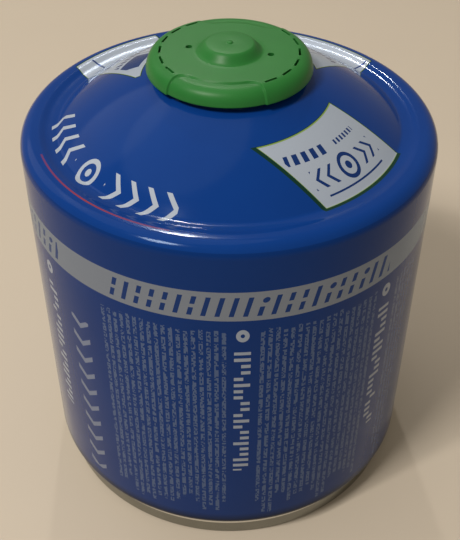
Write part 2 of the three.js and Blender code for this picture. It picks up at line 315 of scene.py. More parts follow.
def cup_points():
    half = FLANGE_HEIGHT / 2
    corner = CUP_CORNER
    outer = CUP_INNER + CUP_SHEET
    bore = BOSS_RADIUS - CUP_SHEET
    out = Outline(BOSS_HOLE, BOSS_TOP_Z - CUP_SHEET)
    out.line(bore, BOSS_TOP_Z - CUP_SHEET)
    out.line(bore, CUP_FLOOR_Z - CUP_SHEET)
    out.line(outer - corner, CUP_FLOOR_Z - CUP_SHEET)
    out.arc(outer - corner, CUP_FLOOR_Z - CUP_SHEET + corner, corner, -90, 0)
    out.line(outer, FLANGE_BOTTOM_Z)
    out.line(FLANGE_RADIUS - half, FLANGE_BOTTOM_Z)
    out.arc(FLANGE_RADIUS - half, FLANGE_BOTTOM_Z + half, half, -90, 90, 16)
    out.arc(CUP_INNER + half, FLANGE_BOTTOM_Z + half, half, 90, 180)
    out.line(CUP_INNER, CUP_FLOOR_Z + corner)
    out.arc(CUP_INNER - corner, CUP_FLOOR_Z + corner, corner, 0, -90)
    out.line(BOSS_RADIUS + corner, CUP_FLOOR_Z)
    out.arc(BOSS_RADIUS + corner, CUP_FLOOR_Z + corner, corner, -90, -180)
    out.line(BOSS_RADIUS, BOSS_TOP_Z - CUP_SHEET)
    out.arc(BOSS_RADIUS - CUP_SHEET, BOSS_TOP_Z - CUP_SHEET, CUP_SHEET, 0, 90)
    out.line(BOSS_HOLE, BOSS_TOP_Z)
    return out.clean()


def cap_points():
    """The cap's outline, from the axis below, out to the rim and back to the axis above."""
    shoulder_z = CAP_BOTTOM_Z + SKIRT_HEIGHT
    hub_z = CAP_TOP_Z + HUB_HEIGHT
    under = CAP_TOP_Z - CAP_WALL
    out = Outline(0, hub_z - CAP_WALL)
    out.line(HUB_TOP - CAP_WALL / 2, hub_z - CAP_WALL)
    out.line(HUB_BASE - CAP_WALL / 2, under)
    out.line(DISC_RADIUS - CAP_WALL / 2, under)
    out.line(SKIRT_INNER, shoulder_z - CAP_WALL / 2)
    out.line(CAP_RADIUS - CAP_WALL, CAP_BOTTOM_Z)
    out.line(*CAP_FACE_START)
    out.curve(CAP_RADIUS, CAP_BOTTOM_Z, CAP_RADIUS, CAP_BOTTOM_Z + RIM_ROUND, 4)
    out.line(CAP_RADIUS - RIM_TAPER, CAP_BOTTOM_Z + RIM_BAND)
    out.curve(CAP_RADIUS - SKIRT_DRAFT, CAP_TOP_Z - SHOULDER_BULGE / 2, DISC_RADIUS, CAP_TOP_Z, 20)
    for radius in DISC_RINGS:
        out.line(radius, CAP_TOP_Z)
    for step in range(HUB_STEPS + 1):
        share = step / HUB_STEPS
        out.line(HUB_BASE + HUB_SOFT + (HUB_TOP - HUB_BASE - 2 * HUB_SOFT) * share,
                 CAP_TOP_Z + HUB_HEIGHT * share * share * (3 - 2 * share))
    out.line(HUB_RING, hub_z)
    out.line(NUB_RADIUS * NUB_FOOT, hub_z)
    out.curve(NUB_RADIUS * NUB_DIP, hub_z - NUB_DIP_DEPTH, NUB_RADIUS, hub_z, 4)
    out.curve(NUB_RADIUS, hub_z + NUB_HEIGHT, 0, hub_z + NUB_HEIGHT, 6)
    return out.clean()


def ease(value, low, high):
    t = min(max((value - low) / (high - low), 0.0), 1.0)
    return t * t * (3 - 2 * t)


def pad_targets(points):
    """For each point of the cap's outer face: its distance below the pad's edge, and its sunk place."""
    index = points.index(CAP_FACE_START)
    face = []
    while points[index][0] >= PAD_TOP_RADIUS:
        face.append(index)
        index += 1
    lengths = [0.0]
    for i, j in zip(face, face[1:]):
        lengths.append(lengths[-1] + math.dist(points[i], points[j]))
    targets = {}
    for index, length in zip(face, lengths):
        radius, z = points[index]
        before, after = points[index - 1], points[index + 1]
        out_r, out_z = after[1] - before[1], before[0] - after[0]
        if z < CAP_BOTTOM_Z + RIM_ROUND + 0.05:
            out_r, out_z = 1.0, 0.0
        share = PAD_DEPTH / math.hypot(out_r, out_z)
        targets[index] = (lengths[-1] - length, radius - out_r * share, z - out_z * share)
    return targets


CAP_POINTS = cap_points()
PAD_TARGETS = pad_targets(CAP_POINTS)


def pad_shape(index, radius, z, angle):
    """Sinks the cap's outer face into the finger pads, with round upper corners."""
    if index not in PAD_TARGETS:
        return radius, z
    below, pad_r, pad_z = PAD_TARGETS[index]
    turn = (math.degrees(angle) + 90.0) % 180.0 - 90.0
    across = math.radians(PAD_HALF_ANGLE - abs(turn)) * radius
    if across < PAD_CORNER and below < PAD_CORNER:
        inside = PAD_CORNER - math.hypot(PAD_CORNER - across, PAD_CORNER - below)
    else:
        inside = min(across, below)
    sunk = ease(inside, 0.0, PAD_EDGE)
    if math.cos(angle) < 0:
        sunk *= BACK_PAD_SHARE
    return radius + (pad_r - radius) * sunk, z + (pad_z - z) * sunk


def cap_angles():
    """Even steps, with closer ones where the pads end."""
    angles = set(round(k * 360.0 / ROUND_STEPS, 3) for k in range(ROUND_STEPS))
    for centre in (0.0, 180.0):
        for side in (-1, 1):
            for k in range(-EDGE_FAN, EDGE_FAN + 1):
                angles.add(round((centre + side * PAD_HALF_ANGLE + k * EDGE_FAN_STEP) % 360.0, 3))
    return [math.radians(a) for a in sorted(angles)]


def cut(piece, cutter):
    cutter.hide_set(True)
    modifier = piece.modifiers.new("cut", "BOOLEAN")
    modifier.operation = "DIFFERENCE"
    modifier.solver = "EXACT"
    modifier.object = cutter
    graph = bpy.context.evaluated_depsgraph_get()
    mesh = bpy.data.meshes.new_from_object(piece.evaluated_get(graph))
    piece.modifiers.clear()
    piece.data = mesh
    bpy.data.objects.remove(cutter)
    smooth(mesh)


def slot_angles():
    """The slots' angles from the middle of their own side, in degrees."""
    return [(slot - (SLOTS_EACH_SIDE - 1) / 2) * SLOT_PITCH for slot in range(SLOTS_EACH_SIDE)]


def cap_cutter():
    """The two holes and the slots, as solids to be cut out of the cap's disc."""
    height = CAP_WALL * 3 * MM
    middle_z = (CAP_TOP_Z - CAP_WALL / 2) * MM
    work = bmesh.new()
    for side in (-1, 1):
        place = Matrix.Translation((side * HOLE_SPREAD * MM, 0, middle_z))
        bmesh.ops.create_cone(work, cap_ends=True, segments=HOLE_SIDES, radius1=HOLE_RADIUS * MM,
                              radius2=HOLE_RADIUS * MM, depth=height, matrix=place)
        for angle in slot_angles():
            turn = Matrix.Rotation(math.radians(angle + (180 if side < 0 else 0)), 4, "Z")
            place = turn @ Matrix.Translation((DISC_RADIUS * MM, 0, middle_z))
            size = Matrix.Diagonal((SLOT_WIDTH * MM, SLOT_LENGTH * MM, height, 1))
            bmesh.ops.create_cube(work, size=1.0, matrix=place @ size)
    mesh = bpy.data.meshes.new("cap_cutter")
    work.to_mesh(mesh)
    work.free()
    return place_piece("cap_cutter", mesh)


def make_cap():
    piece = turned("push_cap", CAP_POINTS, cap_angles(), pad_shape)
    cut(piece, cap_cutter())
    piece.data.transform(Matrix.Rotation(math.radians(CAP_TURN), 4, "Z"))
    return piece


def arc_blocks(name, points, middles, half):
    """Short solid lengths of one outline, bent round the axis at each of the given angles, in degrees."""
    vertices = []
    faces = []
    count = len(points)
    centre_r = max(r for r, z in points)
    centre_z = sum(z for r, z in points) / count
    for middle in middles:
        first = len(vertices)
        for step in range(LUG_STEPS + 1):
            angle = math.radians(middle + half * (2 * step / LUG_STEPS - 1))
            pinch = LUG_END_PINCH if step in (0, LUG_STEPS) else 1.0
            for radius, z in points:
                radius = centre_r + (radius - centre_r) * pinch
                z = centre_z + (z - centre_z) * pinch
                vertices.append(turned_point(radius, z, angle))
        for step in range(LUG_STEPS):
            a, b = first + step * count, first + (step + 1) * count
            for i in range(count):
                j = (i + 1) % count
                faces.append((a + i, b + i, b + j, a + j))
        faces.append(tuple(first + i for i in range(count)))
        faces.append(tuple(first + LUG_STEPS * count + i for i in range(count)))
    return mesh_object(name, vertices, faces)


def make_lugs():
    """Snap lugs inside the cap's rim, one below each slot, with a lead-in below and a flat catch above."""
    low = CAP_BOTTOM_Z + LUG_INSET
    inner = FLANGE_RADIUS + LUG_CLEARANCE
    outer = SKIRT_INNER + CAP_WALL / 2
    nose = inner + LUG_NOSE
    points = [(outer, low), (inner + LUG_LEAD, low), (nose, low + LUG_HEIGHT * 0.45),
              (inner, low + LUG_HEIGHT * 0.7), (nose, low + LUG_HEIGHT), (outer, low + LUG_HEIGHT)]
    middles = [side + 90 + CAP_TURN + angle for side in (0, 180) for angle in slot_angles()]
    return arc_blocks("snap_lugs", points, middles, math.degrees(SLOT_LENGTH / 2 / outer))


class Field:
    """A number in a material's node tree that can be used in arithmetic."""

    def __init__(self, tree, socket):
        self.tree = tree
        self.socket = socket

    def _math(self, operation, *others):
        node = self.tree.nodes.new("ShaderNodeMath")
        node.operation = operation
        for slot, item in enumerate((self,) + others):
            if isinstance(item, Field):
                self.tree.links.new(item.socket, node.inputs[slot])
            else:
                node.inputs[slot].default_value = item
        return Field(self.tree, node.outputs[0])

    def __add__(self, other):
        return self._math("ADD", other)

    def __sub__(self, other):
        return self._math("SUBTRACT", other)

    def __mul__(self, other):
        return self._math("MULTIPLY", other)

    def __truediv__(self, other):
        return self._math("DIVIDE", other)

    def __neg__(self):
        return self * -1.0

    def over(self, other):
        return self._math("GREATER_THAN", other)

    def under(self, other):
        return self._math("LESS_THAN", other)

    def between(self, low, high):
        return self.over(low) * self.under(high)

    def least(self, other):
        return self._math("MINIMUM", other)

    def most(self, other):
        return self._math("MAXIMUM", other)

    def size(self):
        return self._math("ABSOLUTE")

    def floor(self):
        return self._math("FLOOR")

    def rest(self):
        return self._math("FRACT")

    def root(self):
        return self._math("SQRT")

    def angle(self, other):
        return self._math("ARCTAN2", other)


class Finish:
    """A material with one Principled shader and the place of each point in millimetres."""

    def __init__(self, name):
        self.material = bpy.data.materials.new(name)
        self.material.use_nodes = True
        self.tree = self.material.node_tree
        self.shader = self.tree.nodes["Principled BSDF"]
        place = self.tree.nodes.new("ShaderNodeTexCoord")
        scale = self.tree.nodes.new("ShaderNodeVectorMath")
        scale.operation = "SCALE"
        scale.inputs["Scale"].default_value = 1 / MM
        self.tree.links.new(place.outputs["Object"], scale.inputs[0])
        self.place = scale.outputs[0]
        parts = self.tree.nodes.new("ShaderNodeSeparateXYZ")
        self.tree.links.new(self.place, parts.inputs[0])
        self.x, self.y, self.z = (Field(self.tree, parts.outputs[i]) for i in range(3))
        self.radius = (self.x * self.x + self.y * self.y).root()
        self.turn = self.x.angle(-self.y) * (180 / math.pi)

    def set(self, **values):
        for key, value in values.items():
            self.shader.inputs[key.replace("_", " ")].default_value = value

    def vector(self, x, y, z):
        node = self.tree.nodes.new("ShaderNodeCombineXYZ")
        for slot, item in enumerate((x, y, z)):
            if isinstance(item, Field):
                self.tree.links.new(item.socket, node.inputs[slot])
            else:
                node.inputs[slot].default_value = item
        return node.outputs[0]

    def noise(self, scale, detail=2.0, roughness=0.5, place=None):
        node = self.tree.nodes.new("ShaderNodeTexNoise")
        node.inputs["Scale"].default_value = scale
        node.inputs["Detail"].default_value = detail
        node.inputs["Roughness"].default_value = roughness
        self.tree.links.new(place or self.place, node.inputs["Vector"])
        return Field(self.tree, node.outputs["Fac"])

    def speck(self, place):
        node = self.tree.nodes.new("ShaderNodeTexWhiteNoise")
        node.noise_dimensions = "3D"
        self.tree.links.new(place, node.inputs["Vector"])
        return Field(self.tree, node.outputs["Value"])

    def mix(self, share, low, high):
        """Blends two colours; low and high are colours or sockets."""
        node = self.tree.nodes.new("ShaderNodeMix")
        node.data_type = "RGBA"
        self.tree.links.new(share.socket, node.inputs["Factor"])
        for key, item in (("A", low), ("B", high)):
            slot = [s for s in node.inputs if s.name == key and s.type == "RGBA"][0]
            if isinstance(item, tuple):
                slot.default_value = item + (1.0,)
            else:
                self.tree.links.new(item, slot)
        return [s for s in node.outputs if s.type == "RGBA"][0]

    def link(self, key, item):
        socket = item.socket if isinstance(item, Field) else item
        self.tree.links.new(socket, self.shader.inputs[key])

    def bump(self, height, strength, depth):
        node = self.tree.nodes.new("ShaderNodeBump")
        node.inputs["Strength"].default_value = strength
        node.inputs["Distance"].default_value = depth * MM
        self.tree.links.new(height.socket, node.inputs["Height"])
        self.tree.links.new(node.outputs["Normal"], self.shader.inputs["Normal"])


# Colours of the print.
BLUE = (0.0040, 0.042, 0.225)
BLUE_DEEP = (0.0028, 0.032, 0.185)
# Not print: a darker blue for the wall, a painted shade.
BLUE_WALL_PAINTED_SHADE = (0.0016, 0.018, 0.105)
INK_BLUE = (0.010, 0.036, 0.165)
BAND_SILVER = (0.200, 0.230, 0.288)
LABEL_SILVER = (0.400, 0.460, 0.560)
PALE = (0.400, 0.450, 0.520)
FINE_PRINT = (0.115, 0.160, 0.260)
EDGE_GREEN = (0.006, 0.032, 0.020)
EDGE_LIME = (0.20, 0.30, 0.08)
ACCENT_RED = (0.30, 0.036, 0.024)
# Not print: the colour of the painted shade in the neck above the seam.
PAINTED_NECK_SHADE = (0.0012, 0.004, 0.014)
# Not print: the colour of the painted highlight on the seam's top edge.
PAINTED_HIGHLIGHT_STEEL = (0.92, 0.91, 0.87)

# How strongly each kind of print covers the blue; the first is no print but how far the wall's blue is
# painted darker, a painted shade.
WALL_PAINTED_SHADE_SHARE = 0.5
FINE_INK = 0.62
TITLE_INK = 0.72
WALL_MARK_INK = 0.42
DOME_MARK_INK = 0.9
RED_INK = 0.8

# The painted highlight on the seam's top edge, and the painted shade in the neck above it.
SEAM_HIGHLIGHT_DEPTH = 0.9
NECK_SHADE_TOP = 12.0
NECK_SHADE_BOTTOM = 8.4
NECK_SHADE_MOST = 0.9

# Places of the print: millimetres of height and radius, degrees from the front, and shares of a pitch.
DEGREE = math.pi / 180
BAND_BOTTOM = 87.8
BAND_TOP = 96.7
BAND_MARK_BOTTOM = 89.2
BAND_MARK_TOP = 95.1
BAND_GROUPS = ((-31.6, 46.3), (-124.0, -50.5), (72.0, 139.0), (158.0, 220.0))
BAND_WRAP = -140.0
BAND_PITCH = 3.3
BAND_SLANT = 0.24
BAR_SHARE = 0.36
WHOLE_BARS = 0.45
SPLIT_BARS = 0.78
SPLIT_GAP = 0.55
BAND_DOT_SHARE = 0.30
BAND_DOT_DROP = 1.1
BAND_DOT_RADIUS = 0.85
SHORT_BAR_DROP = 0.1
TITLE_ANGLES = (-57.5, 3.6, 46.5, 92.0, 137.0, -150.0, -104.0)
TITLE_HALF = 2.15
TITLE_BOTTOM = 32.0
TITLE_TOP = 77.5
STROKE_PITCH = 2.25
STROKE_SHARE = 0.50
LONG_STROKES = 0.5
RIGHT_STROKES = 0.25
STROKE_OVERLAP = 0.3
BADGE_Z = 82.9
BADGE_HALF_WIDTH = 1.6
BADGE_HALF_HEIGHT = 2.0
BADGE_HOLE = 0.32
FINE_BLOCKS = ((-35.0, 0.2), (7.4, 43.0), (50.5, 88.0), (96.0, 133.0), (141.0, 174.0), (-178.0, -154.0),
               (-146.0, -108.0), (-100.0, -61.5))
FINE_PITCH = 1.85
FINE_TOP = 85.0
FINE_TOP_SPREAD = 1.4
FINE_BOTTOM = 11.5
FINE_BOTTOM_SPREAD = 9.0
ROW_START = 0.16
ROW_END = 0.72
WORD_LENGTH = 5.3
WORD_SHIFT = 7.0
WORD_GAP = 0.12
WORDS_JOINED = 0.35
TICK_WIDTH = 0.34
TICK_HEIGHT = 0.46
TICKS_LEFT_OUT = 0.30
WALL_MARK_ANGLE = -44.4
WALL_MARK_HALF = 3.5
WALL_MARK_BOTTOM = 14.0
WALL_MARK_TOP = 74.0
WALL_MARK_PITCH = 6.4
WALL_MARK_SLOPE = 0.75
WALL_MARK_SHARE = 0.27
DOME_MARK_ANGLE = -52.0
DOME_MARK_RADIUS = 42.6
DOME_MARK_HALF = 3.1
DOME_MARK_START = 6.4
DOME_MARK_END = 27.0
DOME_MARK_PITCH = 5.2
DOME_MARK_SLOPE = 0.95
DOME_MARK_SHARE = 0.29
DOME_RING_INNER = 2.1
DOME_RING_OUTER = 3.2
DOME_RING_DOT = 0.85
RED_INNER = 49.15
RED_OUTER = 49.65
RED_START = -69.0
RED_END = -15.5
RED_MIDDLE = -42.0
RED_HALF = 27.0
RED_FADE = 0.55
LABEL_LEFT_EDGE = ((6.6, -28.2), (22.4, -38.2))
LABEL_RIGHT_EDGE = ((24.6, -10.05), (42.9, -16.0))
LABEL_INNER = 29.6
LABEL_MARK_ANGLE = 47.0
LABEL_MARK_RADIUS = 38.6
LABEL_INNER_FALL = 0.044
LABEL_OUTER = 44.3
LABEL_LEFT_LIMIT = 3.0
LABEL_MARGIN = 1.0
LABEL_BAR_PITCH = 4.4
LABEL_BAR_SHARE = 0.55
LABEL_BAR_RADII = (32.0, 34.4)
LABEL_BAR_TURNS = (22.5, 44.0)
LABEL_TICK_PITCH = 2.2
LABEL_TICK_SHARE = 0.5
LABEL_TICK_RADII = (32.6, 33.8)
LABEL_TICK_TURNS = (48.0, 62.0)
LABEL_RING = (2.1, 3.0)
LABEL_RING_DOT = 0.9
LABEL_ARM_SLOPE = 0.9
LABEL_ARM_PITCH = 3.2
LABEL_ARM_SHARE = 0.30
LABEL_ARM_HALF = 2.1
LABEL_ARM_REACH = (4.6, 11.4)
LABEL_LINE_RADII = (42.2, 42.6)
LABEL_LINE_TURNS = (33.5, 61.0)
SHADE_LEFT = 1.05
SHADE_RIGHT = 0.35
SHADE_INNER = 0.45
SHADE_OUTER = 0.95
LIME_EDGE = 0.12
LIME_INNER = 0.3
BACK_SHADE = 0.35
BACK_LIME = 0.10
BACK_LEFT_EDGE = ((-25.5, 2.5), (-42.2, 25.1))
BACK_RIGHT_EDGE = ((21.2, 2.7), (39.2, 28.9))
BACK_WIDTH = 28.0
BACK_INNER = 22.5
BACK_OUTER = 50.0
BACK_ROW_START = 31.0
BACK_ROW_END = 47.0
BACK_ROW_PITCH = 5.4
BACK_ROW_SHARE = 0.34
BACK_BAR_PITCH = 3.6
BACK_BAR_SHARE = 0.55
BACK_BAR_MARGIN = 1.6
BACK_FIELD_RADII = (24.0, 30.0)
BACK_FIELD_TURNS = (-124.0, -104.0)
BACK_FIELD_MARGIN = 1.5
DIVIDER_TURNS = (127.2, 127.9)
DIVIDER_MARGIN = 0.9
RED_DOT_X = 31.0
RED_DOT_Y = 25.5
RED_DOT_RADIUS = 0.9

# Gloss and grain of the finishes.
WALL_DEPTH = 0.5
LACQUER_ROUGH = 0.09
SMUDGE_ROUGH = 0.06
SILVER_ROUGH = 0.10
SILVER_METAL = 0.25
STREAK_TURN = 0.02
STREAK_SCALE = 2.2
STREAK_ROUGH = 0.16
STAIN_ROUGH = 0.10
STAIN_SHADE = 0.72
HIGHLIGHT_STREAK = 0.5
HIGHLIGHT_BRIGHT = 0.6
GRAIN_ROUGH = 0.10
CLOUD_ROUGH = 0.08


def edge_distance(finish, start, end):
    """Distance from the line through two points in plan, positive on its left."""
    dx, dy = end[0] - start[0], end[1] - start[1]
    length = math.hypot(dx, dy)
    nx, ny = -dy / length, dx / length
    return finish.x * nx + finish.y * ny + (-start[0] * nx - start[1] * ny)


def distance(across, up):
    return (across * across + up * up).root()


def either(fields):
    whole = fields[0]
    for field in fields[1:]:
        whole = whole.most(field)
    return whole


def band_print(f, arc):
    """Groups of slanted bars of three kinds: whole, split in two, and a dot over a short bar."""
    wrapped = f.turn + f.turn.under(BAND_WRAP) * 360.0
    groups = either([wrapped.between(low, high) for low, high in BAND_GROUPS])
    slanted = (arc - (f.z - BAND_MARK_BOTTOM) * BAND_SLANT) / BAND_PITCH
    along = slanted.rest()
    kind = f.speck(f.vector(slanted.floor(), 3.0, 0.0))
    middle = (BAND_MARK_BOTTOM + BAND_MARK_TOP) / 2
    bar = along.under(BAR_SHARE)
    whole = bar * kind.under(WHOLE_BARS)
    split = bar * kind.between(WHOLE_BARS, SPLIT_BARS) * (f.z - middle).size().over(SPLIT_GAP)
    dot_place = distance((along - BAND_DOT_SHARE) * BAND_PITCH, f.z - (BAND_MARK_TOP - BAND_DOT_DROP))
    dot = dot_place.under(BAND_DOT_RADIUS) * kind.over(SPLIT_BARS)
    short = bar * kind.over(SPLIT_BARS) * f.z.under(middle - SHORT_BAR_DROP)
    return either([whole, split, dot, short]) * f.z.between(BAND_MARK_BOTTOM, BAND_MARK_TOP) * groups


def fine_print(f, arc):
    """Upright rows of small strokes, broken into lengths, in place of the small print."""
    place = arc / FINE_PITCH
    row = place.floor()
    in_row = place.rest().between(ROW_START, ROW_END)
    own = f.speck(f.vector(row, 1.0, 5.0))
    top = own * -FINE_TOP_SPREAD + FINE_TOP
    bottom = own * FINE_BOTTOM_SPREAD + FINE_BOTTOM
    run = f.z / WORD_LENGTH + own * WORD_SHIFT
    word = f.speck(f.vector(row, run.floor(), 2.0))
    gap = run.rest().under(WORD_GAP) * word.over(WORDS_JOINED)
    tick = f.speck(f.vector((arc / TICK_WIDTH).floor(), (f.z / TICK_HEIGHT).floor(), 4.0))
    tick = tick.over(TICKS_LEFT_OUT)
    inside = either([f.turn.between(low, high) for low, high in FINE_BLOCKS])
    return in_row * tick * (gap * -1.0 + 1.0) * inside * (top - f.z).over(0.0) * (f.z - bottom).over(0.0)


def title_print(f, arc):
    """Columns of level strokes of three lengths, each headed by a filled oval with a dark dot."""
    marks = []
    for angle in TITLE_ANGLES:
        offset = f.turn - angle
        stroke = f.z / STROKE_PITCH
        kind = f.speck(f.vector(stroke.floor(), 7.0, round(angle)))
        long = kind.over(LONG_STROKES)
        left = kind.between(RIGHT_STROKES, LONG_STROKES) * offset.under(STROKE_OVERLAP)
        right = kind.under(RIGHT_STROKES) * offset.over(-STROKE_OVERLAP)
        strokes = stroke.rest().under(STROKE_SHARE) * either([long, left, right])
        column = offset.size().under(TITLE_HALF) * f.z.between(TITLE_BOTTOM, TITLE_TOP)
        across = offset * (DEGREE * CAN_RADIUS / BADGE_HALF_WIDTH)
        badge = distance(across, (f.z - BADGE_Z) / BADGE_HALF_HEIGHT).between(BADGE_HOLE, 1.0)
        marks.append((strokes * column).most(badge))
    return either(marks)


def wall_mark(f):
    """A narrow upright ladder of chevrons."""
    side = (f.turn - WALL_MARK_ANGLE).size()
    chevron = ((f.z - side * WALL_MARK_SLOPE) / WALL_MARK_PITCH).rest().under(WALL_MARK_SHARE)
    return chevron * side.under(WALL_MARK_HALF) * f.z.between(WALL_MARK_BOTTOM, WALL_MARK_TOP)


def dome_mark(f):
    """Two runs of chevrons that point away from a ring with a dot, between them."""
    along = (f.turn - DOME_MARK_ANGLE) * (DEGREE * DOME_MARK_RADIUS)
    lift = f.radius - DOME_MARK_RADIUS
    side = lift.size()
    arms = ((along.size() + side * DOME_MARK_SLOPE) / DOME_MARK_PITCH).rest().under(DOME_MARK_SHARE)
    arms = arms * side.under(DOME_MARK_HALF) * along.size().between(DOME_MARK_START, DOME_MARK_END)
    ring = distance(along, lift)
    return arms.most(ring.between(DOME_RING_INNER, DOME_RING_OUTER)).most(ring.under(DOME_RING_DOT))


def red_line(f):
    """A thin line outside the dome's marks, paler towards its ends."""
    fade = ((f.turn - RED_MIDDLE) / RED_HALF).size() * -RED_FADE + 1.0
    return f.radius.between(RED_INNER, RED_OUTER) * f.turn.between(RED_START, RED_END) * fade


def front_label_sides(f):
    """How far inside each of the front label's four sides a point lies: left, right, inner, outer."""
    left = edge_distance(f, *LABEL_LEFT_EDGE).least(f.x - LABEL_LEFT_LIMIT)
    right = -edge_distance(f, *LABEL_RIGHT_EDGE)
    inner = f.radius + f.turn * LABEL_INNER_FALL - LABEL_INNER
    outer = -f.radius + LABEL_OUTER
    return left, right, inner, outer


def back_label(f, edge, side):
    """How far inside a back label a point lies. side is positive on that label's half of the can."""
    inside = edge.least(-edge + BACK_WIDTH).least(f.radius - BACK_INNER).least(-f.radius + BACK_OUTER)
    return inside.least(f.y).least(side)


def nearest_side(sides, margins=()):
    """The distance inside all sides, each of which may be moved out by a margin."""
    moved = [side + margin for side, margin in zip(sides, margins)] or list(sides)
    whole = moved[0]
    for side in moved[1:]:
        whole = whole.least(side)
    return whole


def ring_of_bars(f, pitch, share, radii, turns):
    return (f.turn / pitch).rest().under(share) * f.radius.between(*radii) * f.turn.between(*turns)


def front_label_marks(f):
    """Generic marks: an arc of bars and ticks, a ring with a dot between chevrons, and a line below."""
    bars = ring_of_bars(f, LABEL_BAR_PITCH, LABEL_BAR_SHARE, LABEL_BAR_RADII, LABEL_BAR_TURNS)
    ticks = ring_of_bars(f, LABEL_TICK_PITCH, LABEL_TICK_SHARE, LABEL_TICK_RADII, LABEL_TICK_TURNS)
    across = (f.turn - LABEL_MARK_ANGLE) * (DEGREE * LABEL_MARK_RADIUS)
    lift = f.radius - LABEL_MARK_RADIUS
    ring = distance(across, lift)
    side = lift.size()
    arms = ((across.size() + side * LABEL_ARM_SLOPE) / LABEL_ARM_PITCH).rest().under(LABEL_ARM_SHARE)
    arms = arms * side.under(LABEL_ARM_HALF) * across.size().between(*LABEL_ARM_REACH)
    line = f.radius.between(*LABEL_LINE_RADII) * f.turn.between(*LABEL_LINE_TURNS)
    return either([bars, ticks, ring.between(*LABEL_RING), ring.under(LABEL_RING_DOT), arms, line])


def back_label_marks(f, left, back):
    """Generic marks: a blue field, rows of bars and a fine dividing line."""
    rows = ((f.radius - BACK_ROW_START) / BACK_ROW_PITCH).rest().under(BACK_ROW_SHARE)
    rows = rows * f.radius.between(BACK_ROW_START, BACK_ROW_END)
    bars = (f.turn / BACK_BAR_PITCH).rest().under(BACK_BAR_SHARE) * rows * back.over(BACK_BAR_MARGIN)
    field = f.radius.between(*BACK_FIELD_RADII) * f.turn.between(*BACK_FIELD_TURNS)
    field = field * left.over(BACK_FIELD_MARGIN)
    divider = back.over(DIVIDER_MARGIN) * f.turn.size().between(*DIVIDER_TURNS)
    return either([bars, field, divider])


def body_finish():
    f = Finish("printed_lacquer")
    wall = f.radius.over(CAN_RADIUS - WALL_DEPTH)
    dome = f.z.over(WALL_TOP_Z) * f.radius.under(CREST_RADIUS)
    arc = f.turn * (DEGREE * CAN_RADIUS)

    # Lacquer: slow mottling of the blue, and the wall's blue painted darker than the dome's, a painted
    # shade where the wall gets less light.
    mottle = f.noise(scale=0.05, detail=3.0, roughness=0.55)
    colour = f.mix(mottle, BLUE, BLUE_DEEP)
    colour = f.mix(wall * WALL_PAINTED_SHADE_SHARE, colour, BLUE_WALL_PAINTED_SHADE)

    # Print on the wall and the dome.
    band = f.z.between(BAND_BOTTOM, BAND_TOP) * wall
    colour = f.mix(band, colour, BAND_SILVER)
    colour = f.mix(band_print(f, arc) * wall, colour, INK_BLUE)
    colour = f.mix(fine_print(f, arc) * wall * FINE_INK, colour, FINE_PRINT)
    colour = f.mix(title_print(f, arc) * wall * TITLE_INK, colour, PALE)
    colour = f.mix(wall_mark(f) * wall * WALL_MARK_INK, colour, PALE)
    colour = f.mix(dome_mark(f) * dome * DOME_MARK_INK, colour, PALE)
    colour = f.mix(red_line(f) * dome * RED_INK, colour, ACCENT_RED)

    # Dome labels: silver fields with a dark green edge, wider on the outer sides, and a thin lime line.
    sides = front_label_sides(f)
    label = nearest_side(sides)
    shade = nearest_side(sides, (SHADE_LEFT, SHADE_RIGHT, SHADE_INNER, SHADE_OUTER))
    lime = nearest_side(sides, (LIME_EDGE, LIME_EDGE, LIME_INNER, LIME_EDGE))
    left = back_label(f, -edge_distance(f, *BACK_LEFT_EDGE), -f.x)
    right = back_label(f, edge_distance(f, *BACK_RIGHT_EDGE), f.x)
    back = left.most(right)
    colour = f.mix(shade.over(0.0).most(back.over(-BACK_SHADE)) * dome, colour, EDGE_GREEN)
    colour = f.mix(lime.over(0.0).most(back.over(-BACK_LIME)) * dome, colour, EDGE_LIME)
    silver_label = label.most(back).over(0.0) * dome
    colour = f.mix(silver_label, colour, LABEL_SILVER)
    marks = (front_label_marks(f) * label.over(LABEL_MARGIN)).most(back_label_marks(f, left, back))
    colour = f.mix(marks * silver_label, colour, INK_BLUE)
    dot = distance(f.x.size() - RED_DOT_X, f.y - RED_DOT_Y).under(RED_DOT_RADIUS)
    colour = f.mix(dot * silver_label, colour, ACCENT_RED)

    # The necked-in foot of the wall is painted darker towards the seam: painted shade.
    low = (f.z * -1.0 + NECK_SHADE_TOP) / (NECK_SHADE_TOP - NECK_SHADE_BOTTOM)
    colour = f.mix(low.most(0.0).least(NECK_SHADE_MOST), colour, PAINTED_NECK_SHADE)

    f.link("Base Color", colour)
    ink = band.most(silver_label)
    f.link("Metallic", ink * SILVER_METAL)
    smudge = f.noise(scale=0.11, detail=4.0, roughness=0.6)
    f.link("Roughness", smudge * SMUDGE_ROUGH + ink * SILVER_ROUGH + LACQUER_ROUGH)
    f.bump(f.noise(scale=0.9), strength=0.05, depth=0.10)
    f.set(Specular_IOR_Level=0.17, Specular_Tint=(0.60, 0.78, 1.0, 1.0), IOR=1.5)
    return f.material


def steel_finish(name, tint, rough, painted_highlight=False):
    f = Finish(name)
    along = f.vector(f.turn * STREAK_TURN, f.radius * STREAK_SCALE, f.z * STREAK_SCALE)
    streak = f.noise(scale=1.0, detail=3.0, roughness=0.6, place=along)
    stain = f.noise(scale=0.09, detail=4.0, roughness=0.6)
    dark = tuple(STAIN_SHADE * c for c in tint)
    colour = f.mix(stain, dark, tint)
    if painted_highlight:
        # Painted highlight: a bright steel band on the seam's top edge.
        edge = f.z.between(SEAM_HEIGHT - SEAM_HIGHLIGHT_DEPTH, SEAM_HEIGHT + 0.1) * f.radius.over(SEAM_RADIUS - STEEL)
        colour = f.mix(edge * (streak * HIGHLIGHT_STREAK + HIGHLIGHT_BRIGHT), colour, PAINTED_HIGHLIGHT_STEEL)
    f.link("Base Color", colour)
    f.link("Roughness", streak * STREAK_ROUGH + stain * STAIN_ROUGH + rough)
    f.bump(streak, strength=0.25, depth=0.05)
    f.set(Metallic=1.0)
    return f.material


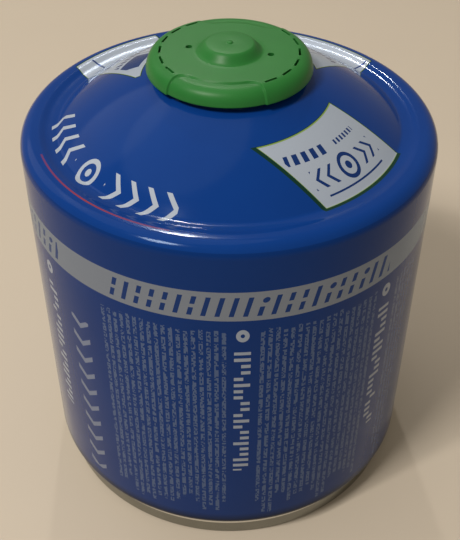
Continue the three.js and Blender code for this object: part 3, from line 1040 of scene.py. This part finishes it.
def plastic_finish(name, low, high, rough, grain=2.6, strength=0.16):
    f = Finish(name)
    cloud = f.noise(scale=0.12, detail=3.0, roughness=0.55)
    fine = f.noise(scale=grain, detail=3.0, roughness=0.6)
    f.link("Base Color", f.mix(cloud, low, high))
    f.link("Roughness", fine * GRAIN_ROUGH + cloud * CLOUD_ROUGH + rough)
    f.bump(fine, strength=strength, depth=0.06)
    f.set(Specular_IOR_Level=0.24, IOR=1.49)
    return f.material


def assign(piece, material):
    piece.data.materials.clear()
    piece.data.materials.append(material)


def dress(piece, body, material, node=None):
    assign(piece, material)
    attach(piece, body)
    if node:
        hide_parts(node)


lacquer = body_finish()
tinplate = steel_finish("bare_tinplate", (0.33, 0.335, 0.305), 0.10, painted_highlight=True)
cup_steel = steel_finish("cup_tinplate", (0.66, 0.65, 0.62), 0.16)
wire = steel_finish("spring_wire", (0.52, 0.52, 0.53), 0.22)
green = plastic_finish("green_plastic", (0.016, 0.140, 0.026), (0.024, 0.176, 0.034), 0.28)
white = plastic_finish("natural_plastic", (0.62, 0.60, 0.54), (0.70, 0.68, 0.62), 0.40)
rubber = plastic_finish("black_rubber", (0.018, 0.018, 0.019), (0.030, 0.030, 0.031), 0.62,
                        grain=5.0, strength=0.3)

round_angles = even_angles(ROUND_STEPS)
dress(turned("can_shell", body_points(), round_angles), "can", lacquer, "body")
dress(turned("seamed_end", bottom_points(), round_angles), "can", tinplate, "bottom_end")
cup_angles = even_angles(CUP_STEPS)
dress(turned("mounting_cup", cup_points(), cup_angles), "can", cup_steel, "valve_cup")
dress(make_cap(), "lid", green, "cap")
dress(make_lugs(), "lid", green)
for node, material in (("cup_gasket", rubber), ("valve_seal", rubber), ("valve_housing", white),
                       ("valve_plunger", white), ("valve_spring", wire)):
    assign(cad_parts[node], material)


# The stage: a plain pale floor, soft lamps and a dim warm room.
FLOOR_HALF = 1.3
FLOOR_COLOUR = (0.55, 0.48, 0.39)
FLOOR_PALER = 1.03
WARM = (1.0, 0.95, 0.88)
PALE_WARM = (1.0, 0.96, 0.90)
LAMP_AIM = Vector((0, 0, 0.08))
ROOM_COLOUR = (0.80, 0.72, 0.60, 1)
ROOM_STRENGTH = 0.38


def floor_finish():
    f = Finish("pale_floor")
    paler = tuple(FLOOR_PALER * c for c in FLOOR_COLOUR)
    f.link("Base Color", f.mix(f.noise(scale=0.02), FLOOR_COLOUR, paler))
    f.set(Roughness=0.75)
    return f.material


def make_floor():
    corners = [(x * FLOOR_HALF, y * FLOOR_HALF, 0) for x, y in ((-1, -1), (1, -1), (1, 1), (-1, 1))]
    mesh = bpy.data.meshes.new("floor")
    mesh.from_pydata(corners, [], [(0, 1, 2, 3)])
    piece = place_piece("floor", mesh)
    assign(piece, floor_finish())


def lamp(name, direction, away, size, power, tint, mirrored=True):
    """A round soft lamp. One that isn't mirrored lights the pieces but leaves no highlight on them."""
    light = bpy.data.lights.new(name, "AREA")
    light.shape = "DISK"
    light.size = size
    light.energy = power
    light.color = tint
    piece = place_piece(name, light)
    toward = Vector(direction).normalized()
    piece.location = LAMP_AIM + toward * away
    piece.rotation_euler = toward.to_track_quat("Z", "Y").to_euler()
    piece.visible_glossy = mirrored


def make_room():
    world = bpy.data.worlds.new("room")
    bpy.context.scene.world = world
    world.use_nodes = True
    background = world.node_tree.nodes["Background"]
    background.inputs["Color"].default_value = ROOM_COLOUR
    background.inputs["Strength"].default_value = ROOM_STRENGTH


make_floor()
lamp("key", (-0.42, -0.42, 0.80), away=1.2, size=0.30, power=8.5, tint=WARM)
lamp("second", (-0.49, -0.36, 0.80), away=1.2, size=0.07, power=2.5, tint=WARM, mirrored=False)
lamp("glint", (-0.069, 0.721, 0.690), away=1.285, size=0.045, power=1.9, tint=PALE_WARM)
lamp("side", (-0.60, 0.50, 0.58), away=1.6, size=1.0, power=1.5, tint=PALE_WARM)
lamp("overhead", (-0.30, 0.25, 1.0), away=1.7, size=1.6, power=4.5, tint=PALE_WARM)
make_room()
bpy.context.scene.view_settings.view_transform = "Standard"

# The camera, solved from the photograph: its place in millimetres, its tilt and its focal length in pixels.
CAMERA_PLACE = (0.0, -211.70, 239.78)
CAMERA_PITCH = 0.7125
CAMERA_YAW = 0.0018
CAMERA_ROLL = 0.0054
FOCAL_PIXELS = 945.35
FRAME_HEIGHT = 540
NEAREST_SEEN = 0.01


def make_camera():
    data = bpy.data.cameras.new("view")
    data.lens = FOCAL_PIXELS / FRAME_HEIGHT * data.sensor_width
    data.clip_start = NEAREST_SEEN
    camera = place_piece("view", data)
    cp, sp = math.cos(CAMERA_PITCH), math.sin(CAMERA_PITCH)
    cy, sy = math.cos(CAMERA_YAW), math.sin(CAMERA_YAW)
    forward = Vector((sy * cp, cy * cp, -sp))
    right = Vector((cy, -sy, 0))
    up = right.cross(forward)
    cr, sr = math.cos(CAMERA_ROLL), math.sin(CAMERA_ROLL)
    right, up = cr * right + sr * up, -sr * right + cr * up
    turn = Matrix((right, up, -forward)).transposed()
    camera.matrix_world = Matrix.Translation(Vector(CAMERA_PLACE) * MM) @ turn.to_4x4()
    bpy.context.scene.camera = camera


make_camera()
